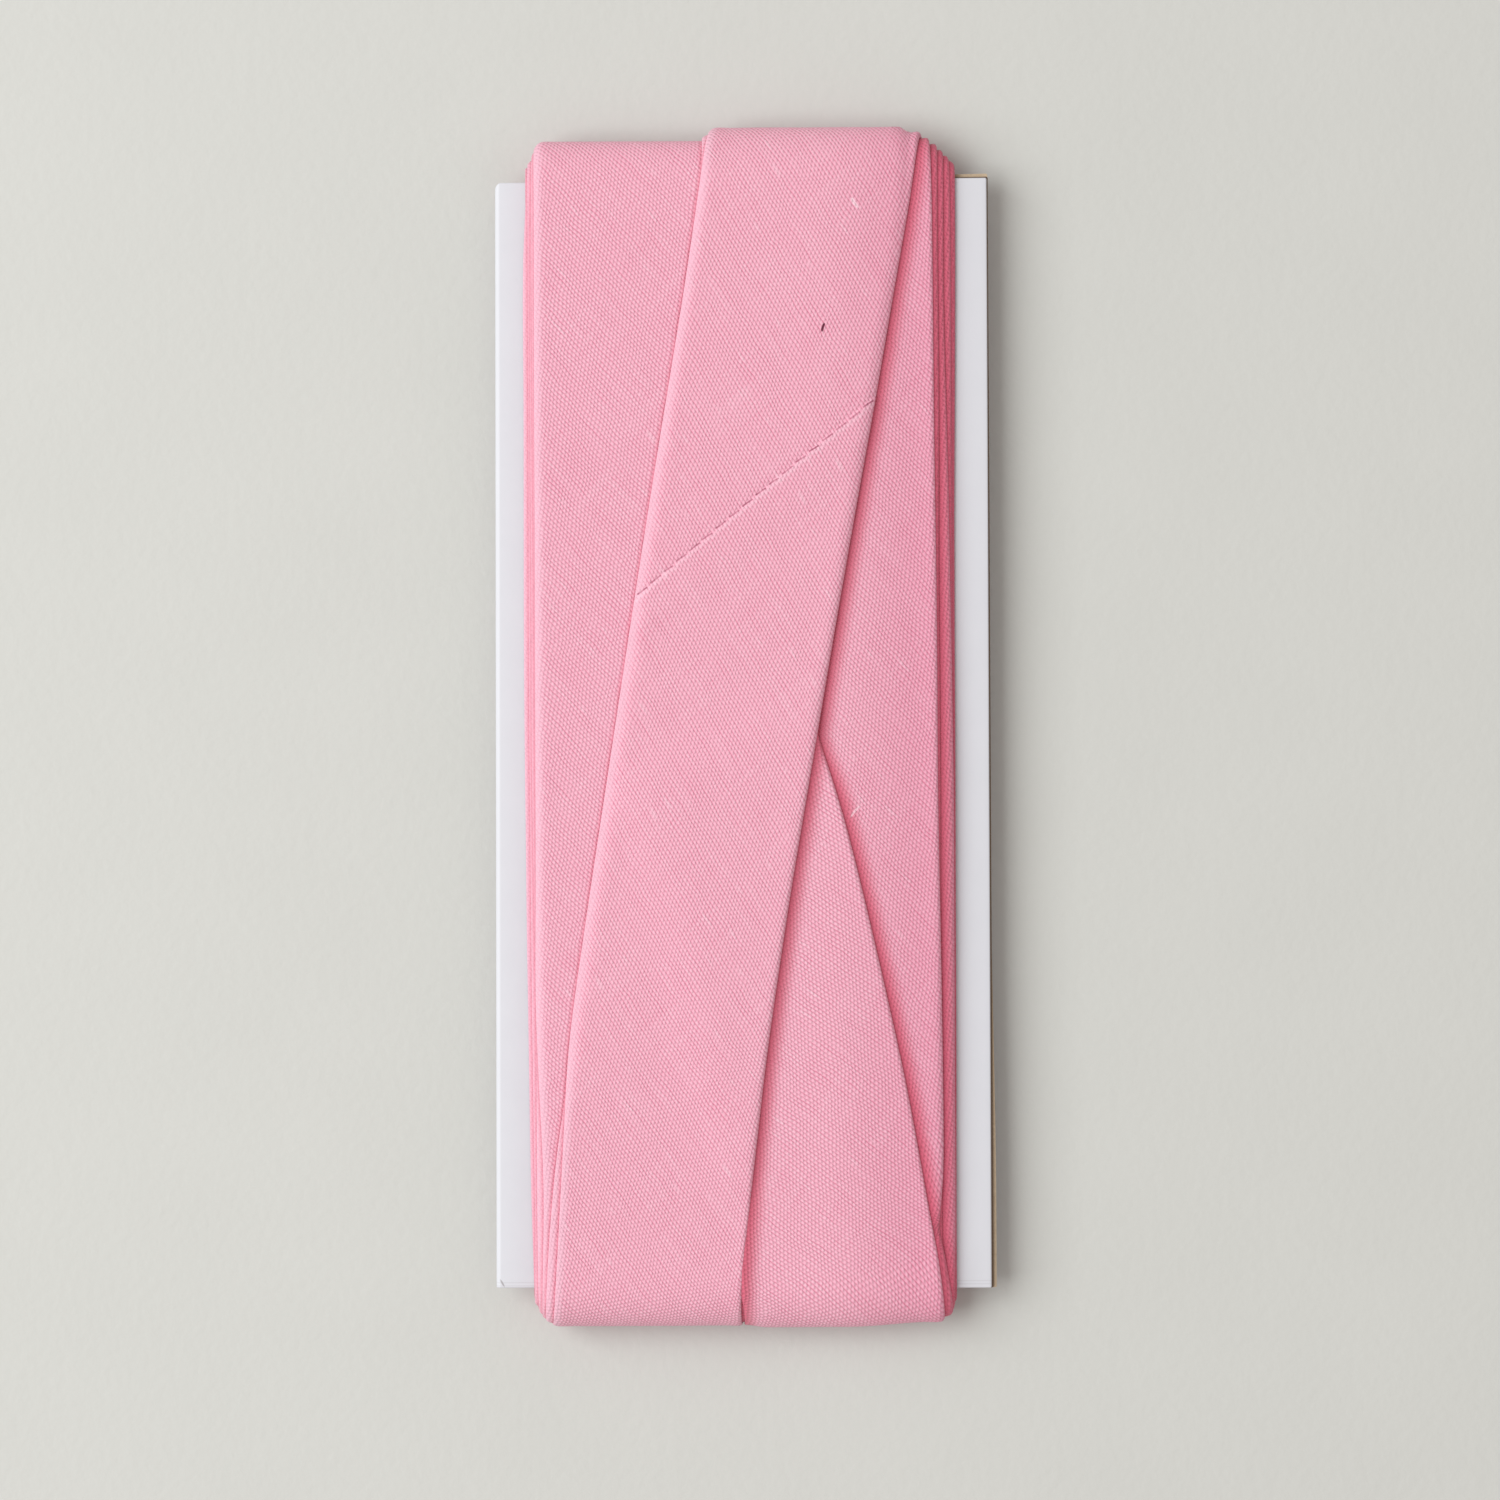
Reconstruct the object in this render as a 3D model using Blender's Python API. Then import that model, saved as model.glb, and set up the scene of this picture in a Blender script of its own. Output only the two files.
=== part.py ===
"""Bias binding wound lengthwise round a flat folded card, lying on its back.

The tape runs up the front, over the top end, down the back and under the
bottom end. Its turns lie in a left and a right column, and the last two
cross over both. +X is the right of the card, +Y its top, +Z the front.
"""
import math
from collections import namedtuple

import bmesh
import bpy

MM = 0.001

# Card: two leaves of white-faced board, folded at the left side
CARD_WIDTH = 48.9 * MM
CARD_LENGTH = 109.5 * MM
LEAF_THICKNESS = 0.42 * MM
LEAF_GAP = 0.16 * MM
LEAF_GAP_DEPTH = 0.6 * MM
CARD_CORNER_RADIUS = 0.45 * MM
CORNER_STEPS = 4
CARD_THICKNESS = 2 * LEAF_THICKNESS + LEAF_GAP

# How far the back leaf reaches past the front leaf at each corner
BACK_LEAF_SHIFT = {
    "bottom_left": (0.0, 0.0),
    "bottom_right": (0.50 * MM, 0.10 * MM),
    "top_right": (0.10 * MM, 0.45 * MM),
    "top_left": (0.0, -0.10 * MM),
}

# Tape: one layer is two plies of folded cloth, pressed by the turns over it
LAYER = 0.40 * MM
CLEARANCE = 0.30 * MM
EDGE_ROUNDING = 0.16 * MM
INNER_HALF = CARD_THICKNESS / 2 + CLEARANCE
MOST_LAYERS = 8.0

# The card's middle plane above the surface. The turns below it are pressed
# flat there, so the height is less than eight full layers.
MIDDLE_HEIGHT = 3.5 * MM

# Slack at the card's two ends: reach past the card is the inner half height
# plus slack times the number of layers to the power of growth
End = namedtuple("End", "slack growth")
TOP_END = End(0.285 * MM, 1.36)
BOTTOM_END = End(0.80 * MM, 0.73)
ARC_STEPS = 10

FRONT = 1
BACK = -1

# A row is a station along the tape: the face it lies on, its height up the
# card, its left and right edges in millimetres, and how many layers of tape
# lie between the card and its outer surface.
Row = namedtuple("Row", "face along left right layers")

# Closed rings of turns: the wide inner ones, then the two columns
INNER_TURNS = [
    Row(FRONT, -50, -20.9, 20.8, 3.0),
    Row(FRONT, -15, -21.3, 20.9, 2.9),
    Row(FRONT, 20, -21.3, 21.1, 2.9),
    Row(FRONT, 50, -21.1, 21.2, 3.0),
    Row(BACK, 50, -21.2, 20.9, 3.0),
    Row(BACK, 0, -21.4, 20.7, 2.9),
    Row(BACK, -50, -21.0, 20.8, 3.0),
]
MIDDLE_TURNS = [
    Row(FRONT, -52, -21.1, 20.6, 4.9),
    Row(FRONT, -35, -21.5, 20.7, 4.8),
    Row(FRONT, -5, -21.8, 20.6, 4.7),
    Row(FRONT, 25, -21.7, 20.3, 4.7),
    Row(FRONT, 50, -21.6, 19.9, 4.9),
    Row(BACK, 50, -21.5, 20.1, 4.9),
    Row(BACK, 10, -21.7, 20.4, 4.7),
    Row(BACK, -50, -21.3, 20.5, 4.9),
]
LEFT_TURNS = [
    Row(FRONT, -53, -20.1, 0.2, 6.1),
    Row(FRONT, -45, -20.0, 0.3, 6.0),
    Row(FRONT, -36, -20.4, 0.0, 6.0),
    Row(FRONT, -26, -20.8, -0.4, 5.9),
    Row(FRONT, 22, -20.7, -0.3, 5.9),
    Row(FRONT, 50, -20.6, -0.2, 6.1),
    Row(BACK, 50, -20.8, -0.4, 6.1),
    Row(BACK, 15, -20.4, 0.0, 5.9),
    Row(BACK, -25, -21.0, -0.6, 5.9),
    Row(BACK, -52, -20.5, -0.2, 6.1),
]
RIGHT_TURNS = [
    Row(FRONT, -53, 0.3, 20.4, 5.7),
    Row(FRONT, -46, -0.8, 19.4, 5.7),
    Row(FRONT, -28, -0.8, 19.4, 5.6),
    Row(FRONT, 0, -1.1, 19.1, 5.6),
    Row(FRONT, 30, -1.3, 18.9, 5.6),
    Row(FRONT, 51, -1.4, 18.8, 5.7),
    Row(BACK, 51, -1.0, 19.2, 5.7),
    Row(BACK, 5, -0.5, 19.7, 5.6),
    Row(BACK, -51, 0.0, 20.2, 5.7),
]

# Open strips: the turn before last, the last turn and the tail, which comes
# up the front from the bottom and is tucked under the last turn
CROSSING_TURN = [
    Row(BACK, -49, -20.0, 0.2, 5.5),
    Row(FRONT, -52, -19.6, 0.3, 6.9),
    Row(FRONT, -42, -18.8, 1.1, 6.9),
    Row(FRONT, -32, -17.1, 3.0, 6.9),
    Row(FRONT, -8, -13.4, 6.6, 6.9),
    Row(FRONT, 22, -8.6, 11.0, 6.9),
    Row(FRONT, 51, -4.3, 15.6, 6.9),
    Row(BACK, 51, -3.9, 16.0, 6.85),
    Row(BACK, 20, -8.3, 11.6, 6.85),
    Row(BACK, -15, -14.1, 6.0, 6.85),
    Row(BACK, -40, -17.6, 2.2, 6.85),
]
LAST_TURN = [
    Row(BACK, -36, -17.1, 2.8, 6.9),
    Row(BACK, -52, -18.9, -0.3, 6.9),
    Row(FRONT, -52, -18.9, -0.1, 7.8),
    Row(FRONT, -45, -18.4, 0.5, 7.8),
    Row(FRONT, -39, -18.1, 1.2, 7.8),
    Row(FRONT, -32, -17.7, 2.1, 7.9),
    Row(FRONT, -15, -15.2, 4.7, 7.9),
    Row(FRONT, 9, -11.4, 8.8, 7.9),
    Row(FRONT, 32, -7.6, 12.9, 7.9),
    Row(FRONT, 45, -5.5, 15.2, 8.0),
    Row(FRONT, 53, -4.3, 16.6, 8.0),
    Row(BACK, 51, -3.2, 17.5, 7.1),
    Row(BACK, 20, -2.2, 18.2, 7.1),
    Row(BACK, -10, -1.2, 19.0, 7.1),
]
TAIL = [
    Row(BACK, -5, -1.4, 18.8, 7.0),
    Row(BACK, -30, -0.7, 19.5, 7.0),
    Row(BACK, -51, -0.2, 20.0, 7.0),
    Row(FRONT, -53, -1.2, 18.9, 7.1),
    Row(FRONT, -45, -2.7, 17.5, 7.0),
    Row(FRONT, -37, -4.1, 16.2, 7.0),
    Row(FRONT, -21, -7.8, 12.6, 7.0),
    Row(FRONT, -6, -11.7, 8.6, 7.0),
    Row(FRONT, 1, -12.2, 7.0, 6.9),
]

# A strip reaches down its own depth in layers, or to the card. The inner
# strip is the base that the outer ones are joined to.
Strip = namedtuple("Strip", "name rows depth closed")
INNER_STRIP = Strip("binding_winding", INNER_TURNS, MOST_LAYERS, True)
OUTER_STRIPS = [
    Strip("middle_turns", MIDDLE_TURNS, 2.6, True),
    Strip("left_turns", LEFT_TURNS, 1.9, True),
    Strip("right_turns", RIGHT_TURNS, 1.8, True),
    Strip("crossing_turn", CROSSING_TURN, 2.5, False),
    Strip("tail", TAIL, 2.7, False),
    Strip("last_turn", LAST_TURN, 3.5, False),
]

FLOOR_CUTTER_SIZE = 0.2
FLOOR_CUTTER_DEPTH = 0.01
MERGE_DISTANCE = 0.000001

BINDING_COLOUR = (0.80, 0.42, 0.50, 1.0)
CARD_COLOUR = (0.78, 0.77, 0.80, 1.0)


def reach(end, layers):
    """How far a surface with this many layers under it passes the card's end."""
    return INNER_HALF + end.slack * layers ** end.growth


def layers_at_tip(rows, top):
    """Layers half-way round the bend at one end, between its two rows."""
    for row, following in zip(rows, rows[1:]):
        if row.face != following.face and (row.along > 0) == top:
            return (row.layers + following.layers) / 2
    raise ValueError("this strip has no bend at that end")


# The card's middle, placed so that the whole part is centred on the origin
TOP_REACH = reach(TOP_END, layers_at_tip(LAST_TURN, True))
BOTTOM_REACH = reach(BOTTOM_END, layers_at_tip(LAST_TURN, False))
CARD_MIDDLE_X = -max(shift[0] for shift in BACK_LEAF_SHIFT.values()) / 2
CARD_MIDDLE_Y = (BOTTOM_REACH - TOP_REACH) / 2
CARD_TOP = CARD_MIDDLE_Y + CARD_LENGTH / 2
CARD_BOTTOM = CARD_MIDDLE_Y - CARD_LENGTH / 2


def clear_scene():
    for scene_object in list(bpy.data.objects):
        bpy.data.objects.remove(scene_object, do_unlink=True)


def new_collection(name):
    collection = bpy.data.collections.new(name)
    bpy.context.scene.collection.children.link(collection)
    return collection


def new_material(name, colour, roughness):
    material = bpy.data.materials.new(name)
    material.use_nodes = True
    shader = material.node_tree.nodes["Principled BSDF"]
    shader.inputs["Base Color"].default_value = colour
    shader.inputs["Roughness"].default_value = roughness
    shader.inputs["Metallic"].default_value = 0.0
    return material


def new_object(name, bm, collection):
    """Turn a bmesh into an object with outward faces and smooth shading."""
    bmesh.ops.recalc_face_normals(bm, faces=bm.faces)
    mesh = bpy.data.meshes.new(name)
    bm.to_mesh(mesh)
    bm.free()
    mesh.shade_smooth()
    mesh.set_sharp_from_angle(angle=math.radians(35))
    new = bpy.data.objects.new(name, mesh)
    collection.objects.link(new)
    return new


def loft(sections, closed):
    """Join rings of points with faces, as a ring of rings or with two caps."""
    bm = bmesh.new()
    rings = [[bm.verts.new(point) for point in section] for section in sections]
    pairs = list(zip(rings, rings[1:]))
    if closed:
        pairs.append((rings[-1], rings[0]))
    else:
        bm.faces.new(rings[0])
        bm.faces.new(rings[-1])
    for ring, following in pairs:
        for index in range(len(ring)):
            after = (index + 1) % len(ring)
            bm.faces.new((ring[index], ring[after], following[after], following[index]))
    return bm


def mix(first, second, share):
    return first + (second - first) * share


def flat_point(row, layers):
    """Y and Z on a face of the card, this many layers out."""
    return row.along * MM, MIDDLE_HEIGHT + row.face * (INNER_HALF + LAYER * layers)


def arc_point(top, angle, layers):
    """Y and Z on the bend round an end of the card, this many layers out."""
    end, side, edge = (TOP_END, 1, CARD_TOP) if top else (BOTTOM_END, -1, CARD_BOTTOM)
    y = edge + side * reach(end, layers) * math.cos(angle)
    z = MIDDLE_HEIGHT + (INNER_HALF + LAYER * layers) * math.sin(angle)
    return y, z


def section(left, right, inner, outer):
    """One cross-section of a strip, with its two outer edges rounded off."""
    share = EDGE_ROUNDING / math.dist(inner, outer)
    shoulder = (mix(outer[0], inner[0], share), mix(outer[1], inner[1], share))
    return [
        (left, *inner),
        (left, *shoulder),
        (left + EDGE_ROUNDING, *outer),
        (right - EDGE_ROUNDING, *outer),
        (right, *shoulder),
        (right, *inner),
    ]


def flat_section(row, depth):
    """A strip's cross-section at a row, on a face of the card."""
    inner = flat_point(row, max(row.layers - depth, 0.0))
    outer = flat_point(row, row.layers)
    return section(row.left * MM, row.right * MM, inner, outer)


def bend_sections(row, following, depth):
    """Cross-sections round the end of the card between two rows."""
    top = row.along > 0
    sections = []
    for step in range(ARC_STEPS + 1):
        share = step / ARC_STEPS
        angle = mix(row.face, following.face, share) * math.pi / 2
        layers = mix(row.layers, following.layers, share)
        left = mix(row.left, following.left, share) * MM
        right = mix(row.right, following.right, share) * MM
        inner = arc_point(top, angle, max(layers - depth, 0.0))
        outer = arc_point(top, angle, layers)
        sections.append(section(left, right, inner, outer))
    return sections


def strip_sections(strip):
    """All cross-sections of a strip, with a bend wherever it changes face."""
    sections = []
    followers = strip.rows[1:]
    if strip.closed:
        followers.append(strip.rows[0])
    for row, following in zip(strip.rows, followers):
        sections.append(flat_section(row, strip.depth))
        if row.face != following.face:
            sections.extend(bend_sections(row, following, strip.depth))
    if not strip.closed:
        sections.append(flat_section(strip.rows[-1], strip.depth))
    return sections


def make_strip(strip, collection):
    return new_object(strip.name, loft(strip_sections(strip), strip.closed), collection)


def make_floor_cutter(collection):
    """A block whose top is the surface that the part lies on."""
    size = (FLOOR_CUTTER_SIZE, FLOOR_CUTTER_SIZE, FLOOR_CUTTER_DEPTH)
    bm = bmesh.new()
    bmesh.ops.create_cube(bm, size=1.0)
    bmesh.ops.scale(bm, vec=size, verts=bm.verts)
    bmesh.ops.translate(bm, vec=(0, 0, -FLOOR_CUTTER_DEPTH / 2), verts=bm.verts)
    return new_object("floor_cutter", bm, collection)


def add_boolean(target, operation, cutter):
    cutter.hide_render = True
    cutter.display_type = "WIRE"
    modifier = target.modifiers.new(cutter.name, "BOOLEAN")
    modifier.solver = "EXACT"
    modifier.operation = operation
    modifier.object = cutter


def make_winding(parts, cutters):
    """The wound tape: inner turns, the strips laid over them, and a flat base."""
    winding = make_strip(INNER_STRIP, parts)
    for strip in OUTER_STRIPS:
        add_boolean(winding, "UNION", make_strip(strip, cutters))
    add_boolean(winding, "DIFFERENCE", make_floor_cutter(cutters))
    winding.data.materials.append(new_material("binding", BINDING_COLOUR, 0.85))


def leaf_corners(shift, inset):
    """A leaf's corners in order, moved by its shift and drawn in from three sides."""
    left = CARD_MIDDLE_X - CARD_WIDTH / 2
    right = CARD_MIDDLE_X + CARD_WIDTH / 2 - inset
    bottom = CARD_BOTTOM + inset
    top = CARD_TOP - inset
    places = {
        "bottom_left": (left, bottom),
        "bottom_right": (right, bottom),
        "top_right": (right, top),
        "top_left": (left, top),
    }
    return [(x + shift[name][0], y + shift[name][1]) for name, (x, y) in places.items()]


def rounded_outline(corners, z):
    """Four corners, given anticlockwise, as one outline with rounded corners."""
    points = []
    for index, (x, y) in enumerate(corners):
        start = math.pi + index * math.pi / 2
        centre_x = x - CARD_CORNER_RADIUS * math.copysign(1, math.cos(start + math.pi / 4))
        centre_y = y - CARD_CORNER_RADIUS * math.copysign(1, math.sin(start + math.pi / 4))
        for step in range(CORNER_STEPS + 1):
            angle = start + step / CORNER_STEPS * math.pi / 2
            points.append((
                centre_x + CARD_CORNER_RADIUS * math.cos(angle),
                centre_y + CARD_CORNER_RADIUS * math.sin(angle),
                z,
            ))
    return points


def make_card(parts):
    """Two leaves on each other, joined at the fold, with a thin gap at the other edges."""
    no_shift = dict.fromkeys(BACK_LEAF_SHIFT, (0.0, 0.0))
    back = leaf_corners(BACK_LEAF_SHIFT, 0.0)
    inside = leaf_corners(no_shift, LEAF_GAP_DEPTH)
    front = leaf_corners(no_shift, 0.0)
    bottom = MIDDLE_HEIGHT - CARD_THICKNESS / 2
    gap_bottom = bottom + LEAF_THICKNESS
    gap_top = gap_bottom + LEAF_GAP
    top = gap_top + LEAF_THICKNESS
    levels = [
        (back, bottom),
        (back, gap_bottom),
        (inside, gap_bottom),
        (inside, gap_top),
        (front, gap_top),
        (front, top),
    ]
    bm = loft([rounded_outline(corners, z) for corners, z in levels], False)
    bmesh.ops.remove_doubles(bm, verts=bm.verts, dist=MERGE_DISTANCE)
    card = new_object("card", bm, parts)
    card.data.materials.append(new_material("card_board", CARD_COLOUR, 0.55))


def main():
    clear_scene()
    parts = new_collection("roll_of_bias_binding")
    cutters = new_collection("cutters")
    make_card(parts)
    make_winding(parts, cutters)


main()
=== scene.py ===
"""Looks of a roll of bias binding: the wound tape turn by turn, its weave and its card."""
import math
from collections import namedtuple

import bmesh
import bpy
import numpy as np
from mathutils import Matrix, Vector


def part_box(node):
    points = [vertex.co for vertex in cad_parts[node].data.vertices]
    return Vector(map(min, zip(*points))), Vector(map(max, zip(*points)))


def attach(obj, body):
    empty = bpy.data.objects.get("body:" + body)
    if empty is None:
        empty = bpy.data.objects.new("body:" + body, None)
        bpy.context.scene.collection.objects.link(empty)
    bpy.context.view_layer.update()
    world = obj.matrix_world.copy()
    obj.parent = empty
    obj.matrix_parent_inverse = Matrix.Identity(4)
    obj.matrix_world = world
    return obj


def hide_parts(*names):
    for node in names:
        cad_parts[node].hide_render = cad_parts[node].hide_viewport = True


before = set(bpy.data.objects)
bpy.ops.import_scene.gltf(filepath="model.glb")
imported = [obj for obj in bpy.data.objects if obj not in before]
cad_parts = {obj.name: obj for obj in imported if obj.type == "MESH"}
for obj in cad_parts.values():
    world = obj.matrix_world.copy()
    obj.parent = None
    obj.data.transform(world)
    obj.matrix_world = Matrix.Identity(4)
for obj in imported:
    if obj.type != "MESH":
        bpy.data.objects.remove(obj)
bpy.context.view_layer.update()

MM = 0.001
FRONT = 1
BACK = -1
SEED = 7
rng = np.random.default_rng(SEED)

# The tape, in millimetres: two plies folded and pressed into one band
TAPE_WIDTH = 20.2
LAYER = 0.37
EDGE_PUFF = 0.14
EDGE_PUFF_REACH = 0.9
LEFT_EDGE_RADIUS = 1.2
RIGHT_EDGE_RADIUS = 0.38
EDGE_SQUARENESS = 2.0
TIP_HEIGHT = 0.25

# The card's middle plane, its ends, and the room between it and the tape
card_low, card_high = ([corner / MM for corner in end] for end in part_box("card"))
BACK_LEAF_RISE = 0.45
CARD_TOP = card_high[1] - BACK_LEAF_RISE
CARD_BOTTOM = card_low[1]
MIDDLE_HEIGHT = (card_low[2] + card_high[2]) / 2
INNER_HALF = 0.56

# Slack of the turns where they pass the card's ends
TOP_START, BOTTOM_START = 1.15, 0.85
SLACK_LAYER = 0.42
TOP_SLACK, TOP_GROWTH = 0.285, 1.36
BOTTOM_SLACK, BOTTOM_GROWTH = 0.80, 0.73

# The tail's bend hangs lower, between these places across the card
BOTTOM_SAG = 0.5
BOTTOM_SAG_RISE = (-1.0, 2.0)
BOTTOM_SAG_FALL = (10.0, 19.0)

# The loop that each turn follows, unrolled: front, top bend, back, bottom bend
FLAT_LENGTH = CARD_TOP - CARD_BOTTOM
BEND_LENGTH = 12.0
BEND_STRETCH = 0.15
BEND_EASE = 1.0
LOOP = 2 * (FLAT_LENGTH + BEND_LENGTH)
TOP_TIP = FLAT_LENGTH + BEND_LENGTH / 2
BOTTOM_TIP = LOOP - BEND_LENGTH / 2

# The map of heights on the unrolled loop
CELL_ALONG = 0.5
CELL_ACROSS = 0.25
MAP_HALF_WIDTH = 25.0
MAP_ROWS = round(LOOP / CELL_ALONG)
MAP_COLUMNS = round(2 * MAP_HALF_WIDTH / CELL_ACROSS)
LAST_COLUMN = MAP_COLUMNS - 1.001
ROW_PLACES = np.arange(MAP_ROWS) * LOOP / MAP_ROWS
COLUMN_PLACES = -MAP_HALF_WIDTH + np.arange(MAP_COLUMNS) * CELL_ACROSS
LEAST_HEIGHT = 0.01
PRESSING_BLUR = 3

# A station is a point of the tape's middle line: the face it is on, its place
# up the card, its place across the card, and the tape's width there.
Station = namedtuple("Station", "face along centre width", defaults=(TAPE_WIDTH,))


def on(face, *places):
    """Stations on one face, from their other values."""
    return [Station(face, *place) for place in places]


INNER_COLUMN_TURNS = [
    *on(BACK, (40, 10.7), (-50, 10.6)),
    *on(FRONT, (-50, 10.6), (50, 10.9)),
    *on(BACK, (50, 10.9), (-50, 10.8)),
    *on(FRONT, (-50, 10.75), (-17, 10.76), (50, 11.05)),
    *on(BACK, (50, 10.9), (-50, 10.7)),
    *on(FRONT, (-50, 10.45), (50, 10.6)),
]
LEFT_COLUMN_TURNS = [
    *on(BACK, (50, 10.2), (-50, -10.7)),
    *on(FRONT, (-50, -11.0), (50, -11.4)),
    *on(BACK, (50, -11.5), (-50, -11.1)),
    *on(FRONT, (-57, -10.9), (-45, -11.3), (-20, -11.65), (45, -11.65), (56, -11.0)),
    *on(BACK, (50, -11.3), (-50, -11.1)),
    *on(FRONT, (-50, -10.9), (0, -11.25), (50, -11.1)),
    *on(BACK, (50, -11.2), (-50, -10.8)),
    *on(FRONT, (-50, -10.5), (0, -10.95), (50, -10.8)),
]
RIGHT_COLUMN_TURNS = [
    *on(BACK, (50, -10.4), (-50, 10.3)),
    *on(FRONT, (-47, 10.6), (-7, 10.56), (22, 10.3), (42, 9.8), (52, 9.85)),
    *on(BACK, (50, 9.9), (-50, 9.4)),
    *on(FRONT, (-50, 9.3), (50, 9.3)),
    *on(BACK, (50, 9.3), (-50, 9.9)),
    *on(FRONT, (-57, 10.45), (-54, 9.6), (-52, 9.05), (-50, 8.5), (-48, 8.95), (-46, 9.45),
               (-37, 9.43), (-27, 9.33), (-7, 9.07), (32, 8.81), (52, 8.71)),
]
OUTER_LEFT_TURNS = [
    *on(BACK, (50, 8.3), (-50, -10.3)),
    *on(FRONT, (-50, -10.6), (50, -10.7)),
    *on(BACK, (50, -10.8), (-50, -10.3)),
    *on(FRONT, (-57, -10.12), (-47, -9.87), (-42, -9.95), (-37, -10.22), (-27, -10.67),
               (22, -10.54), (52, -10.5)),
    *on(BACK, (50, -10.6), (-50, -10.0)),
]
CROSSING_TURN = [
    *on(FRONT, (-57, -10.35, 19.1), (-52, -10.05, 19.1), (-47, -9.6, 19.2),
               (-42, -9.0, 19.3), (-33, -7.6, 19.0), (-10, -4.1, 19.0), (20, 0.7, 19.3),
               (52, 5.9, 19.9)),
    *on(BACK, (50, 6.2), (-40, -8.6), (-52, -9.9)),
]
LAST_TURN = [
    *on(FRONT, (-57, -9.87, 18.2), (-51, -9.4, 18.5), (-45, -8.93, 18.8), (-39, -8.4, 19.2),
               (-33, -7.93, 19.6), (-27, -7.1, 19.6), (-15, -5.27, 19.6), (8.5, -1.4, 20.0),
               (32, 2.67, 20.4), (44, 4.7, 20.5), (56, 6.75, 20.9)),
    *on(BACK, (52, 8.6, 20.4), (-50, 9.6)),
]
TAIL = [
    *on(FRONT, (-57, 9.8, 19.7), (-53, 8.85, 20.0), (-49, 8.05, 20.0), (-45, 7.4, 20.0),
               (-37, 6.0, 20.0), (-29, 4.3, 20.0), (-21, 2.47, 20.0), (-13, 0.53, 20.0),
               (-8, -0.9, 20.0), (-2, -3.1, 20.0)),
]
STATIONS = (INNER_COLUMN_TURNS + LEFT_COLUMN_TURNS + RIGHT_COLUMN_TURNS + OUTER_LEFT_TURNS
            + CROSSING_TURN + LAST_TURN + TAIL)
TAIL_CUT_SLOPE = 0.42
TAIL_CUT_BLEND = 14.0
TAIL_CUT_REACH = 5.0
TAIL_START = -56.5

# The join seam on the last turn: where it crosses the middle line, its slope
# against the tape's cross direction, and how the rows of points lean to it
SEAM_ALONG = 22.6
SEAM_TURN = 49.2
SEAM_SLOPE = math.tan(math.radians(SEAM_TURN))
SEAM_LEAN_FULL = 5.0
SEAM_LEAN_END = 26.0
SEAM_RISE = 0.10
SEAM_ALLOWANCE = 2.7
SEAM_GROOVE = 0.05
SEAM_GROOVE_WIDTH = 0.20
SEAM_EDGE = (-0.12, 0.10)
ALLOWANCE_EDGE = (-SEAM_ALLOWANCE - 0.25, -SEAM_ALLOWANCE + 0.10)

# Rows of points beside the seam: on both sides of it, and at the allowance's edge
SEAM_ROWS = (0.0, 0.12, 0.26, 0.45, 0.7, 1.1, 1.7, 2.3, 3.1, 4.0)
ALLOWANCE_ROWS = (-2.6, -2.85, -3.35, -3.6)

# Spacing of the tape's rows of points, on hidden turns and on outer ones
OUTER_TURNS = 11
INNER_STEP, INNER_BEND_STEP = 4.0, 1.5
OUTER_STEP, OUTER_BEND_STEP = 1.6, 0.75
BEND_MARGIN = 1.0

# Points of the cross-section, by their distance from the fold's tip
TOP_EDGE_POINTS = (0.015, 0.06, 0.13, 0.22, 0.38, 0.6, 0.9, 1.35)
TOP_MIDDLE_START, TOP_MIDDLE_COUNT = 2.0, 12
UNDER_POINTS = (0.03, 0.12, 0.24, 0.9, 3.0, 6.0)

# Smooth lines along the tape, and how soft its middle line, width and wobble are
LINE_STEP = 0.5
LINE_MARGIN = 20
BLUR_REACH = 3
CENTRE_SOFTNESS = 2.5
WIDTH_SOFTNESS = 3.0
WOBBLE_SPACING, WOBBLE_SIZE, WOBBLE_SOFTNESS = 17.0, 0.07, 7.0
LEAN_REACH = 1.0

# How a taut layer falls away from a raised edge below it: over how many cells
# and how far in each, and how it is rounded there
DRAPE_ACROSS = (8, 0.62 * CELL_ACROSS)
DRAPE_ALONG = (8, 0.16 * CELL_ALONG)
BLUR_ACROSS = 0.28
BLUR_ALONG = 1.3

# Taut layers bridge grooves, and press down ridges, that are narrower than this
IRONED_CELLS = 6

# The last turn lies smoother away from its edges, over this many cells
EVEN_CELLS = 7
EVEN_START, EVEN_FULL = 0.8, 3.8

# The turns are pressed thinner towards the card's right side
PRESS_START, PRESS_END, PRESS = 8.0, 22.0, 0.28

# Distance from a turn above, for the painted shade between turns: the most
# that is kept, and how it starts and grows at the left of an edge
TUCK_FAR = 3.0
TUCK_LEFT_START, TUCK_LEFT_SLOPE = 0.9, 2.2


def smoothstep(value, start, end):
    share = np.clip((value - start) / (end - start), 0.0, 1.0)
    return share * share * (3 - 2 * share)


def loop_place(face, along):
    """Where a point of a face lies on the unrolled loop."""
    if face == FRONT:
        return along - CARD_BOTTOM
    return FLAT_LENGTH + BEND_LENGTH + CARD_TOP - along


def unrolled_stations():
    """Each station's place along the whole tape, with full loops added."""
    places = []
    for station in STATIONS:
        place = loop_place(station.face, station.along) % LOOP
        while places and place < places[-1]:
            place += LOOP
        places.append(place)
    return np.array(places)


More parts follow.
